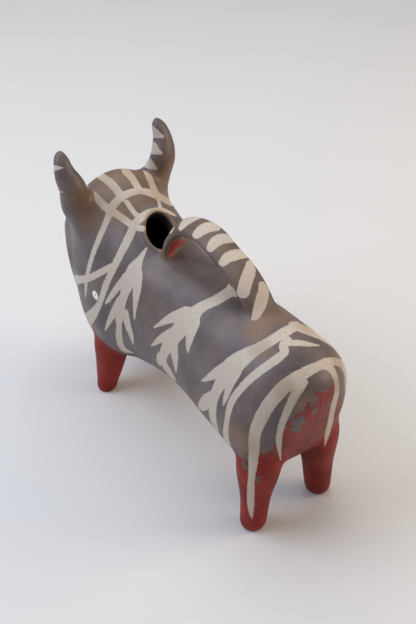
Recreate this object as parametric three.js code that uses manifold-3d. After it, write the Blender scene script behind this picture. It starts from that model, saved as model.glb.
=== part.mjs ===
// A hand-built pottery vessel in the shape of a bull: two clay half shells luted along the middle,
// four legs, two horns, a muzzle, two eyes, a pouring mouth with a rolled lip and a strap handle.
// Millimetres. The bull faces -Y, its left side is +X, and it stands on Z = 0.
import * as THREE from "three";
import { mergeVertices } from "three/addons/utils/BufferGeometryUtils.js";
import Module from "manifold-3d";

const wasm = await Module();
wasm.setup();

// Lengths along the bull
const legBase = 127; // front feet to rear feet
const rumpOverhang = 20.3; // rear feet to the back of the rump
const browOverhang = 39; // front feet to the front of the head
const muzzleReach = 11; // front of the head to the tip of the muzzle

// Clay
const wall = 5.5; // thickness of the half shells
const luteGap = 0.3; // what the slip between two luted pieces leaves free

// The body from front to back. Each section has the height of its back, its belly and its widest
// place, its half width, and how full its upper half is (2 is an ellipse, more is fuller at the
// corners). Front ones lie behind the front feet, rear ones ahead of the rear feet.
const face = { behindFeet: -34.5, back: 113.5, widest: 91, belly: 46, half: 33.3, fullness: 2 };
const brow = { behindFeet: -20.5, back: 121.3, widest: 87, belly: 29.5, half: 26.6, fullness: 2 };
const poll = { behindFeet: -4.5, back: 121.6, widest: 72, belly: 24.5, half: 29.2, fullness: 2.2 };
const neck = { behindFeet: 13.5, back: 113.5, widest: 66, belly: 27, half: 29.5, fullness: 2.1 };
const withers = { behindFeet: 30.5, back: 103, widest: 65, belly: 33.5, half: 26, fullness: 2.5 };
const loin = { back: 100.3, widest: 63.5, belly: 38.7, half: 23.8, fullness: 2.6 };
const flank = { aheadOfFeet: 28.5, back: 101, widest: 63, belly: 35, half: 27.1, fullness: 2.4 };
const haunch = { aheadOfFeet: 1.5, back: 100.7, widest: 65.5, belly: 32.5, half: 28.8, fullness: 2.1 };
const rump = { back: 96.3, widest: 77, belly: 43, half: 26.6, fullness: 2 };
const rumpDome = 20.7; // length of the rounded rump
const rumpPole = 86; // height where it closes
const faceDome = 30; // length of the rounded head
const facePole = 83;
const bellySquareness = 2.7; // of the lower half

// Legs
const rearStance = 41; // between the middles of the feet
const frontStance = 41.4;
const rearLeg = { sole: 3.9, foot: 6, shank: 7.4, hip: 12.6, lean: 0.07 };
const frontLeg = { sole: 3.2, foot: 5.3, shank: 8.3, hip: 14, lean: 0.15 };
const footRound = 5; // height of the rounded edge of a foot
const shankHeight = 19;
const hipAboveBelly = 8; // where a leg is widest
const hipDome = 20; // how far it closes above that, inside the body

// Horns
const hornSpread = 57; // tip to tip
const hornRise = 19; // tip above the poll
const hornForward = 12.3; // tip ahead of the poll
const hornRootSpread = 28; // between the middles of the roots, inside the head
const hornRootDepth = 21; // roots below the poll
const hornRootRadius = 10;
const hornLowRadius = 7; // a third of the way up
const hornHighRadius = 5.5;
const hornTipRadius = 2.9;

// Handle, a flat strap that springs from behind the mouth, where its left side stands further back
const handleWidth = 15.5;
const handleFrontAside = 0.3; // off the middle where it springs
const handleFrontSlant = 0.5; // how much further back its left side stands there, per width
const handleAside = -3.2; // off the middle, to the bull's right
const handleThickness = 5.6;
const fingerGap = 17.7; // between the back at the loin and the strap
const handleBehindFeet = 36; // where its front end stands
const handleAheadOfFeet = 23; // where its rear end meets the haunch
const strapSquareness = 2.6;

// Mouth: a bore through the back of the neck with a rolled lip
const mouthBehindFeet = 25.4;
const mouthHalfWidth = 7.2; // of the bore
const mouthStretch = 1.45; // length over width
const mouthTurn = 22; // degrees that its rear end points to the bull's left
const lipRadius = 0.9; // of the roll
const lipStand = 0.6; // middle of the roll above the neck

// Face
const muzzleRootRadius = 15;
const muzzleDepth = 20; // root of the muzzle inside the head
const muzzleHalfWidth = 10.5; // near the tip
const muzzleHalfHeight = 9;
const muzzleDrop = 8; // tip below the middle of the head
const muzzleSquareness = 2.4;
const eyeRadius = 3.6;
const eyeBehindFeet = -30.5;
const eyeAngle = 56; // degrees round the head from its top

// Faces of the curved surfaces
const bodySides = 40;
const domeSteps = 7;
const trunkSteps = 14;
const limbSides = 20;
const hornSteps = 14;
const handleSteps = 26;
const muzzleSteps = 12;
const mouthSides = 36;

const length = muzzleReach + browOverhang + legBase + rumpOverhang;
const rumpEnd = length / 2;
const rearFeet = rumpEnd - rumpOverhang;
const frontFeet = rearFeet - legBase;
const faceEnd = frontFeet - browOverhang;
const muzzleTip = faceEnd - muzzleReach;
const loinY = (frontFeet + rearFeet) / 2;

// A closed solid from any closed geometry
function solidOf(geometry) {
  geometry.deleteAttribute("normal");
  geometry.deleteAttribute("uv");
  const merged = mergeVertices(geometry, 1e-4);
  const mesh = new wasm.Mesh({
    numProp: 3,
    vertProperties: new Float32Array(merged.attributes.position.array),
    triVerts: new Uint32Array(merged.index.array),
  });
  return new wasm.Manifold(mesh);
}

// Skins rings of points, each closed by the point it starts from, and caps both ends at a middle point.
function skin(rings, start, end) {
  const sides = rings[0].length;
  const points = [...rings.flat(), start, end];
  const faces = [];
  const at = (ring, side) => ring * sides + (side % sides);
  const last = rings.length - 1;
  for (let side = 0; side < sides; side++) {
    for (let ring = 0; ring < last; ring++) {
      faces.push(at(ring, side), at(ring, side + 1), at(ring + 1, side + 1));
      faces.push(at(ring, side), at(ring + 1, side + 1), at(ring + 1, side));
    }
    faces.push(points.length - 2, at(0, side + 1), at(0, side));
    faces.push(points.length - 1, at(last, side), at(last, side + 1));
  }
  const geometry = new THREE.BufferGeometry().setFromPoints(points);
  geometry.setIndex(faces);
  return solidOf(geometry);
}

// A point of a superellipse at an angle from its top
function superellipse(angle, squareness) {
  const bend = (value) => Math.sign(value) * Math.abs(value) ** (2 / squareness);
  return [bend(Math.sin(angle)), bend(Math.cos(angle))];
}

// Body with its head
const sections = [
  { y: frontFeet + face.behindFeet, ...face },
  { y: frontFeet + brow.behindFeet, ...brow },
  { y: frontFeet + poll.behindFeet, ...poll },
  { y: frontFeet + neck.behindFeet, ...neck },
  { y: frontFeet + withers.behindFeet, ...withers },
  { y: loinY, ...loin },
  { y: rearFeet - flank.aheadOfFeet, ...flank },
  { y: rearFeet - haunch.aheadOfFeet, ...haunch },
  { y: rumpEnd, ...rump },
];
const profile = new THREE.CubicInterpolant(
  new Float32Array(sections.map((s) => s.y)),
  new Float32Array(sections.flatMap((s) => [s.back, s.belly, s.half, s.widest, s.fullness])),
  5,
  new Float32Array(5),
);

function sectionAt(y) {
  const inside = THREE.MathUtils.clamp(y, sections[0].y, rumpEnd);
  const [back, belly, half, widest, fullness] = profile.evaluate(inside);
  return { back, belly, half, widest, fullness };
}

// The share a domed end leaves of a section, and the height that it shrinks towards
function domeAt(y, grow) {
  const rear = (y - (rumpEnd - rumpDome)) / (rumpDome + grow);
  const front = (faceEnd + faceDome - y) / (faceDome + grow);
  const into = Math.min(1, Math.max(rear, front, 0));
  return { share: Math.sqrt(1 - into * into), pole: rear > front ? rumpPole : facePole };
}

function bodyPoint(y, angle, grow = 0) {
  const { back, belly, half, widest, fullness } = sectionAt(y);
  const { share, pole } = domeAt(y, grow);
  const above = Math.cos(angle) >= 0;
  const [across, up] = superellipse(angle, above ? fullness : bellySquareness);
  const reach = above ? back + grow - widest : widest - belly + grow;
  const z = pole + (widest + up * reach - pole) * share;
  return new THREE.Vector3(across * (half + grow) * share, y, z);
}

function bodyForm(grow = 0) {
  const ys = [];
  const front = faceEnd + faceDome;
  const rear = rumpEnd - rumpDome;
  for (let step = 1; step <= domeSteps; step++) {
    const angle = (step / domeSteps) * (Math.PI / 2);
    ys.push(front - (faceDome + grow) * Math.cos(angle));
  }
  for (let step = 1; step < trunkSteps; step++) {
    ys.push(THREE.MathUtils.lerp(front, rear, step / trunkSteps));
  }
  for (let step = domeSteps; step >= 1; step--) {
    const angle = (step / domeSteps) * (Math.PI / 2);
    ys.push(rear + (rumpDome + grow) * Math.cos(angle));
  }
  const rings = ys.map((y) => {
    const ring = [];
    for (let side = 0; side < bodySides; side++) {
      ring.push(bodyPoint(y, (side / bodySides) * 2 * Math.PI, grow));
    }
    return ring;
  });
  const start = new THREE.Vector3(0, faceEnd - grow, facePole);
  const end = new THREE.Vector3(0, rumpEnd + grow, rumpPole);
  return skin(rings, start, end);
}

// A value that runs evenly through a row of values
function taper(values, t) {
  const place = t * (values.length - 1);
  const step = Math.min(Math.floor(place), values.length - 2);
  return THREE.MathUtils.lerp(values[step], values[step + 1], place - step);
}

// The share of its size that a tip keeps where it rounds off after a place
function rounding(t, after) {
  const beyond = Math.max(0, (t - after) / (1 - after));
  return Math.sqrt(1 - 0.8 * beyond * beyond);
}

// A form along a middle line; side(t) is its side direction, section(t) its half sizes along and across.
function sweep(points, steps, side, section, squareness = 2) {
  const path = new THREE.CatmullRomCurve3(points);
  const rings = [];
  for (let step = 0; step <= steps; step++) {
    const t = step / steps;
    const centre = path.getPoint(t);
    const tangent = path.getTangent(t);
    const aside = side(t);
    const across = aside.clone().addScaledVector(tangent, -aside.dot(tangent)).normalize();
    const through = new THREE.Vector3().crossVectors(across, tangent);
    const [wide, thick] = section(t);
    const ring = [];
    for (let n = 0; n < limbSides; n++) {
      const [a, b] = superellipse((n / limbSides) * 2 * Math.PI, squareness);
      const point = centre.clone().addScaledVector(across, a * wide);
      ring.push(point.addScaledVector(through, b * thick));
    }
    rings.push(ring);
  }
  return skin(rings, path.getPoint(0), path.getPoint(1));
}

// Leg: a turned form on a flat sole, sheared so that it leans inwards as it rises
function legForm(x, y, leg) {
  const hipZ = sectionAt(y).belly + hipAboveBelly;
  const outline = [new THREE.Vector2(0, 0)];
  for (let step = 0; step <= 4; step++) {
    const angle = (step / 4) * (Math.PI / 2);
    const radius = leg.sole + (leg.foot - leg.sole) * Math.sin(angle);
    outline.push(new THREE.Vector2(radius, footRound * (1 - Math.cos(angle))));
  }
  const shaft = new THREE.SplineCurve([
    new THREE.Vector2(leg.foot, footRound),
    new THREE.Vector2(leg.shank, shankHeight),
    new THREE.Vector2(leg.hip, hipZ),
    new THREE.Vector2(leg.hip * 0.85, hipZ + hipDome * 0.6),
    new THREE.Vector2(0, hipZ + hipDome),
  ]);
  outline.push(...shaft.getPoints(14).slice(1));
  const geometry = new THREE.LatheGeometry(outline, limbSides);
  geometry.rotateX(Math.PI / 2);
  const lean = -Math.sign(x) * leg.lean;
  geometry.applyMatrix4(new THREE.Matrix4().set(1, 0, lean, x, 0, 1, 0, y, 0, 0, 1, 0, 0, 0, 0, 1));
  return solidOf(geometry);
}

// Horn: out of the side of the head, then up, with the tip turned in and forward
function hornForm(sign) {
  const y = frontFeet + poll.behindFeet;
  const tipX = hornSpread / 2;
  const rootZ = poll.back - hornRootDepth;
  const tipZ = poll.back + hornRise;
  const at = (out, ahead, up) => {
    const x = THREE.MathUtils.lerp(hornRootSpread / 2, tipX, out);
    return new THREE.Vector3(sign * x, y - ahead * hornForward, THREE.MathUtils.lerp(rootZ, tipZ, up));
  };
  const middle = [
    at(0, 0.41, 0),
    at(0.65, 0.65, 0.25),
    at(0.93, 0.45, 0.575),
    at(1.05, 0.65, 0.765),
    at(1, 1, 1),
  ];
  const radii = [hornRootRadius, hornLowRadius, hornHighRadius, hornTipRadius];
  const radiusAt = (t) => taper(radii, t) * rounding(t, 0.93);
  return sweep(middle, hornSteps, () => new THREE.Vector3(0, 1, 0), (t) => [radiusAt(t), radiusAt(t)]);
}

// Handle: stands up behind the mouth, arches over the back and runs out into the haunch
function handleForm() {
  const front = frontFeet + handleBehindFeet;
  const rear = rearFeet - handleAheadOfFeet;
  const crown = loin.back + fingerGap + handleThickness / 2;
  const at = (along, from, up) => {
    const x = THREE.MathUtils.lerp(handleFrontAside, handleAside, Math.min(1, along * 3));
    const y = THREE.MathUtils.lerp(front, rear, along);
    return new THREE.Vector3(x, y, THREE.MathUtils.lerp(from, crown, up));
  };
  const middle = [
    at(0.015, withers.back, -0.45),
    at(0, withers.back, 0.17),
    at(0.113, withers.back, 0.78),
    at(0.317, withers.back, 1),
    at(0.563, withers.back, 0.78),
    at(0.775, haunch.back, 0.47),
    at(1, haunch.back, -0.3),
  ];
  const side = (t) => new THREE.Vector3(1, handleFrontSlant * Math.max(0, 1 - t * 2), 0);
  return sweep(middle, handleSteps, side, () => [handleWidth / 2, handleThickness / 2], strapSquareness);
}

// Places what is modelled along +Z at the mouth, square to the back of the neck.
const mouthY = frontFeet + mouthBehindFeet;
const mouthRise = sectionAt(mouthY - lipRadius).back - sectionAt(mouthY + lipRadius).back;
const mouthSlope = mouthRise / (2 * lipRadius);
function atMouth(geometry) {
  geometry.scale(1, mouthStretch, 1);
  geometry.rotateZ((-mouthTurn / 180) * Math.PI);
  geometry.rotateX(-Math.atan(mouthSlope));
  return geometry.translate(0, mouthY, sectionAt(mouthY).back);
}

// The bore from well inside the body up to a height above the neck
function mouthBore(top) {
  const depth = top + 3 * wall;
  const bore = new THREE.CylinderGeometry(mouthHalfWidth, mouthHalfWidth, depth, mouthSides);
  bore.translate(0, top - depth / 2, 0);
  return solidOf(atMouth(bore.rotateX(Math.PI / 2)));
}

// Lip: a roll of clay on a short skirt that reaches down to the neck
function lipForm(grow = 0) {
  const outline = [];
  for (let step = 0; step <= 8; step++) {
    const angle = (step / 8) * Math.PI;
    const radius = lipRadius + grow;
    const across = mouthHalfWidth + lipRadius + Math.cos(angle) * radius;
    outline.push(new THREE.Vector2(across, lipStand + Math.sin(angle) * radius));
  }
  outline.push(new THREE.Vector2(mouthHalfWidth - grow, -wall));
  outline.push(new THREE.Vector2(mouthHalfWidth + 2 * lipRadius + grow, -wall));
  outline.push(outline[0].clone());
  const ring = new THREE.LatheGeometry(outline, mouthSides);
  return solidOf(atMouth(ring.rotateX(Math.PI / 2)));
}

// Muzzle: a blunt snout that tapers out of the face and drops a little
function muzzleForm() {
  const tipZ = facePole - muzzleDrop;
  const middle = [
    new THREE.Vector3(0, faceEnd + muzzleDepth, facePole),
    new THREE.Vector3(0, faceEnd + muzzleDepth / 3, facePole - muzzleDrop * 0.6),
    new THREE.Vector3(0, muzzleTip + muzzleReach / 2, tipZ),
    new THREE.Vector3(0, muzzleTip, tipZ),
  ];
  const section = (t) => [
    taper([muzzleRootRadius, muzzleHalfWidth], t) * rounding(t, 0.8),
    taper([muzzleRootRadius, muzzleHalfHeight], t) * rounding(t, 0.8),
  ];
  return sweep(middle, muzzleSteps, () => new THREE.Vector3(1, 0, 0), section, muzzleSquareness);
}

function eyeForm(sign) {
  const geometry = new THREE.SphereGeometry(eyeRadius, 14, 10);
  const angle = THREE.MathUtils.degToRad(eyeAngle * sign);
  const place = bodyPoint(frontFeet + eyeBehindFeet, angle);
  geometry.translate(place.x, place.y, place.z);
  return solidOf(geometry);
}

// A box with room to spare that keeps the bull's left or right side
function sideBox(sign) {
  const room = length;
  const box = new THREE.BoxGeometry(room, 2 * room, 2 * room);
  return solidOf(box.translate((sign * room) / 2, 0, 0));
}

const vessel = new THREE.Group();

function add(name, form, colour) {
  const made = form.getMesh();
  const geometry = new THREE.BufferGeometry();
  geometry.setAttribute("position", new THREE.BufferAttribute(made.vertProperties, 3));
  geometry.setIndex(new THREE.BufferAttribute(made.triVerts, 1));
  geometry.computeVertexNormals();
  const material = new THREE.MeshStandardMaterial({ color: colour, roughness: 0.45, metalness: 0 });
  const mesh = new THREE.Mesh(geometry, material);
  mesh.name = name;
  vessel.add(mesh);
}

const greySlip = 0x6b5f5d;
const brownSlip = 0x6f5d4e;
const redSlip = 0x86342a;
const creamSlip = 0xbfb39d;

const seat = bodyForm(luteGap);
const shell = bodyForm().subtract(bodyForm(-wall)).subtract(mouthBore(3 * wall));

add("body_left_half", shell.intersect(sideBox(1)), greySlip);
add("body_right_half", shell.intersect(sideBox(-1)), greySlip);
add("mouth_lip", lipForm().subtract(seat), greySlip);
const lipSeat = lipForm(luteGap).add(mouthBore(lipStand + lipRadius + luteGap));
add("handle", handleForm().subtract(seat).subtract(lipSeat), brownSlip);
for (const [side, sign] of [["left", 1], ["right", -1]]) {
  const rearLegForm = legForm((sign * rearStance) / 2, rearFeet, rearLeg);
  const frontLegForm = legForm((sign * frontStance) / 2, frontFeet, frontLeg);
  add(`rear_${side}_leg`, rearLegForm.subtract(seat), redSlip);
  add(`front_${side}_leg`, frontLegForm.subtract(seat), redSlip);
  add(`${side}_horn`, hornForm(sign).subtract(seat), greySlip);
  add(`${side}_eye`, eyeForm(sign).subtract(seat), creamSlip);
}
add("muzzle", muzzleForm().subtract(seat), greySlip);

export default vessel;
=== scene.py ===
import math
import bpy
import numpy as np
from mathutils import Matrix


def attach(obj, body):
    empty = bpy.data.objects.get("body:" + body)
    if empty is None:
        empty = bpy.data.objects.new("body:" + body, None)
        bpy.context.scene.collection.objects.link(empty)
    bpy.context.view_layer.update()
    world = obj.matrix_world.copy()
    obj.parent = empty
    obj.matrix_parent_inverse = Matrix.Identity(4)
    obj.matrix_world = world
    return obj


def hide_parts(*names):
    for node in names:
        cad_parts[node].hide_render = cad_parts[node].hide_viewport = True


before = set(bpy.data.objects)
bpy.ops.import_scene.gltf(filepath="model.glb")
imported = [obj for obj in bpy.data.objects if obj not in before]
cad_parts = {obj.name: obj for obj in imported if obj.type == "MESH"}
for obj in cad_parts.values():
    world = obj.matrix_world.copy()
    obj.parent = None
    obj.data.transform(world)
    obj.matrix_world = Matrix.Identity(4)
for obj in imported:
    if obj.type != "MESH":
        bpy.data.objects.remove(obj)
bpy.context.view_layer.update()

import openvdb as vdb
from mathutils import Vector
from mathutils.bvhtree import BVHTree

# A hand-built pottery bull with brushed slip. Forms are worked out in millimetres and become
# metres where their meshes are made. The bull faces -Y, its left is +X, it stands on Z = 0.

bull = {
    "legBase": 127.0,  # front feet to rear feet
    "rumpOverhang": 20.3,  # rear feet to the back of the rump
    "browOverhang": 39.0,  # front feet to the front of the head
    "muzzleReach": 11.0,  # front of the head to the tip of the muzzle
    "wall": 5.5,  # clay thickness
}
rumpEnd = (bull["legBase"] + bull["rumpOverhang"] + bull["browOverhang"] + bull["muzzleReach"]) / 2
rearFeet = rumpEnd - bull["rumpOverhang"]
frontFeet = rearFeet - bull["legBase"]
faceEnd = frontFeet - bull["browOverhang"]
muzzleTip = faceEnd - bull["muzzleReach"]
loinY = (frontFeet + rearFeet) / 2

view = {
    "azimuth": 143.02,
    "elevation": 36.39,
    "height": 421.05,  # of the lens above the table
    "aim": (-65.25, -85.77),  # where it looks on the table, from the middle between the feet
    "focal": 1197.0,  # in pixels
    "picture": (416, 624),
}


def placeCamera():
    a, e = math.radians(view["azimuth"]), math.radians(view["elevation"])
    back = Vector((math.sin(a) * math.cos(e), -math.cos(a) * math.cos(e), math.sin(e)))
    lens = bpy.data.cameras.new("photoView")
    lens.sensor_width = 36
    lens.lens = 36 * view["focal"] / view["picture"][1]
    lens.clip_start, lens.clip_end = 0.01, 20
    made = bpy.data.objects.new("photoView", lens)
    bpy.context.scene.collection.objects.link(made)
    aim = Vector((view["aim"][0], loinY + view["aim"][1], 0))
    made.location = (aim + back * (view["height"] / math.sin(e))) * 0.001
    made.rotation_mode = "QUATERNION"
    made.rotation_quaternion = (-back).to_track_quat("-Z", "Y")
    bpy.context.scene.camera = made
    bpy.context.view_layer.update()
    return made


camera = placeCamera()
print("camera placed")


def addNode(tree, kind, inputs=None, **settings):
    made = tree.nodes.new(kind)
    for name, value in settings.items():
        setattr(made, name, value)
    for name, value in (inputs or {}).items():
        if isinstance(value, bpy.types.NodeSocket):
            tree.links.new(value, made.inputs[name])
        else:
            made.inputs[name].default_value = value
    return made


def meshFrom(name, points, faces, edges=()):
    mesh = bpy.data.meshes.new(name)
    mesh.from_pydata((np.asarray(points) * 0.001).tolist(), list(edges), np.asarray(faces).tolist())
    mesh.update()
    return mesh


def pieceFrom(name, mesh):
    made = bpy.data.objects.new(name, mesh)
    bpy.context.scene.collection.objects.link(made)
    return made


def evaluatedMesh(made):
    bpy.context.view_layer.update()
    return bpy.data.meshes.new_from_object(made.evaluated_get(bpy.context.evaluated_depsgraph_get()))


def valuesOf(rows, key, kind=np.float32, wide=1):
    made = np.empty(len(rows) * wide, kind)
    rows.foreach_get(key, made)
    return made.reshape(-1, wide) if wide > 1 else made


def pointsOf(mesh):
    return valuesOf(mesh.vertices, "co", wide=3) * 1000


def trianglesOf(mesh):
    mesh.calc_loop_triangles()
    return valuesOf(mesh.loop_triangles, "vertices", np.int32, 3)


# Smooth curve through rows of values, with free ends
def through(places, rows, where):
    places, rows = np.asarray(places, float), np.asarray(rows, float)
    where = np.atleast_1d(where)
    i = np.clip(np.searchsorted(places, where, side="right"), 1, len(places) - 1)
    t0, t1 = places[i - 1], places[i]
    before = np.where(i < 2, i, i - 2)
    tBefore = np.where(i < 2, t1, places[np.maximum(i - 2, 0)])
    last = i + 1 >= len(places)
    after = np.where(last, i - 1, np.minimum(i + 1, len(places) - 1))
    tAfter = np.where(last, t0, places[np.minimum(i + 1, len(places) - 1)])
    half = (t1 - t0) / 2
    wBefore, wAfter = half / (t0 - tBefore), half / (tAfter - t1)
    p = (where - t0) / (t1 - t0)
    p2, p3 = p * p, p * p * p
    shares = (
        -wBefore * p3 + 2 * wBefore * p2 - wBefore * p,
        (1 + wBefore) * p3 + (-1.5 - 2 * wBefore) * p2 + (wBefore - 0.5) * p + 1,
        (-1 - wAfter) * p3 + (1.5 + wAfter) * p2 + 0.5 * p,
        wAfter * p3 - wAfter * p2,
    )
    return sum(s[:, None] * rows[n] for s, n in zip(shares, (before, i - 1, i, after)))


# Smooth path through points that are spaced unevenly
def pathThrough(points, where):
    p = np.asarray(points, float)
    p = np.vstack([2 * p[0] - p[1], p, 2 * p[-1] - p[-2]])
    made = []
    for t in np.atleast_1d(where):
        place = t * (len(p) - 3)
        i = min(int(place), len(p) - 4)
        w = place - i
        p0, p1, p2, p3 = p[i : i + 4]
        d0, d1, d2 = (max(np.linalg.norm(b - a), 1e-6) ** 0.5 for a, b in ((p0, p1), (p1, p2), (p2, p3)))
        m1 = ((p1 - p0) / d0 - (p2 - p0) / (d0 + d1) + (p2 - p1) / d1) * d1
        m2 = ((p2 - p1) / d1 - (p3 - p1) / (d1 + d2) + (p3 - p2) / d2) * d1
        made.append(p1 + m1 * w + (3 * (p2 - p1) - 2 * m1 - m2) * w**2 + (2 * (p1 - p2) + m1 + m2) * w**3)
    return np.array(made)


def between(a, b, t):
    return a + (b - a) * np.asarray(t, float)


def tapered(values, t):
    return np.interp(t, np.linspace(0, 1, len(values)), values)


tipShare = 0.05  # of its girth that the very end of a tip keeps, so that its coil closes


# Share of its size that a tip keeps where it rounds off after a place
def roundedOff(t, after):
    beyond = np.clip((t - after) / (1 - after), 0, 1)
    return np.maximum(np.sqrt(np.maximum(1 - beyond**2, 0.0)), tipShare)


# Places along a coil that crowd towards its tip: so many before a place, so many after it
def towardsTip(after, before, beyond):
    tip = after + (1 - after) * np.sin(np.linspace(0, np.pi / 2, beyond)[1:])
    return np.concatenate([np.linspace(0, after, before), tip])


trunk = {
    # along from the feet, back, belly, half width, height of the widest place, fullness of the upper half
    "front": [
        (-34.5, 113.5, 46.0, 33.3, 91.0, 2.0),
        (-20.5, 121.3, 29.5, 26.6, 87.0, 2.0),
        (-4.5, 121.6, 24.5, 29.2, 72.0, 2.2),
        (13.5, 113.5, 27.0, 29.5, 66.0, 2.1),
        (30.5, 103.0, 33.5, 26.0, 65.0, 2.5),
    ],
    "loin": (100.3, 38.7, 23.8, 63.5, 2.6),
    "rear": [(-28.5, 101.0, 35.0, 27.1, 63.0, 2.4), (-1.5, 100.7, 32.5, 28.8, 65.5, 2.1)],
    "rump": (96.3, 43.0, 26.6, 77.0, 2.0),
    "rumpDome": 20.7,
    "rumpPole": 86.0,
    "faceDome": 30.0,
    "facePole": 83.0,
    "bellySquareness": 2.7,
}
trunkRows = [(frontFeet + row[0], *row[1:]) for row in trunk["front"]]
trunkRows.append((loinY, *trunk["loin"]))
trunkRows += [(rearFeet + row[0], *row[1:]) for row in trunk["rear"]]
trunkRows.append((rumpEnd, *trunk["rump"]))
trunkPlaces = [row[0] for row in trunkRows]
trunkValues = [row[1:] for row in trunkRows]


def trunkPoint(y, angle, grow=0.0):
    y, angle = np.broadcast_arrays(np.asarray(y, float), np.asarray(angle, float))
    where = np.clip(y.ravel(), trunkPlaces[0], rumpEnd)
    sizes = through(trunkPlaces, trunkValues, where).T
    back, belly, half, widest, fullness = (v.reshape(y.shape) for v in sizes)
    rear = (y - (rumpEnd - trunk["rumpDome"])) / (trunk["rumpDome"] + grow)
    front = (faceEnd + trunk["faceDome"] - y) / (trunk["faceDome"] + grow)
    into = np.clip(np.maximum(rear, front), 0, 1)
    share = np.sqrt(1 - into**2)
    pole = np.where(rear > front, trunk["rumpPole"], trunk["facePole"])
    above = np.cos(angle) >= 0
    bend = 2 / np.where(above, fullness, trunk["bellySquareness"])
    across = np.sign(np.sin(angle)) * np.abs(np.sin(angle)) ** bend
    up = np.sign(np.cos(angle)) * np.abs(np.cos(angle)) ** bend
    reach = np.where(above, back + grow - widest, widest - belly + grow)
    z = pole + (widest + up * reach - pole) * share
    return np.stack([across * (half + grow) * share, y, z], -1)


def trunkForm(grow=0.0, sides=128, domeSteps=28, steps=110):
    front, rear = faceEnd + trunk["faceDome"], rumpEnd - trunk["rumpDome"]
    turn = np.linspace(0, np.pi / 2, domeSteps + 1)[1:]
    ys = np.concatenate([
        front - (trunk["faceDome"] + grow) * np.cos(turn),
        np.linspace(front, rear, steps + 1)[1:-1],
        rear + (trunk["rumpDome"] + grow) * np.cos(turn[::-1]),
    ])
    around = np.linspace(0, 2 * np.pi, sides, endpoint=False)
    rings = trunkPoint(ys[:, None], around[None, :], grow)
    points = np.vstack([
        rings.reshape(-1, 3),
        [(0, faceEnd - grow, trunk["facePole"]), (0, rumpEnd + grow, trunk["rumpPole"])],
    ])
    ring, side = np.meshgrid(np.arange(len(ys) - 1), np.arange(sides), indexing="ij")
    a, b = ring * sides + side, ring * sides + (side + 1) % sides
    c, d = b + sides, a + sides
    walls = np.concatenate([np.stack([a, b, c], -1).reshape(-1, 3), np.stack([a, c, d], -1).reshape(-1, 3)])
    s, n = np.arange(sides), (np.arange(sides) + 1) % sides
    last = (len(ys) - 1) * sides
    start = np.stack([np.full(sides, len(points) - 2), n, s], -1)
    end = np.stack([np.full(sides, len(points) - 1), last + s, last + n], -1)
    return points, np.concatenate([walls, start, end])


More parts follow.
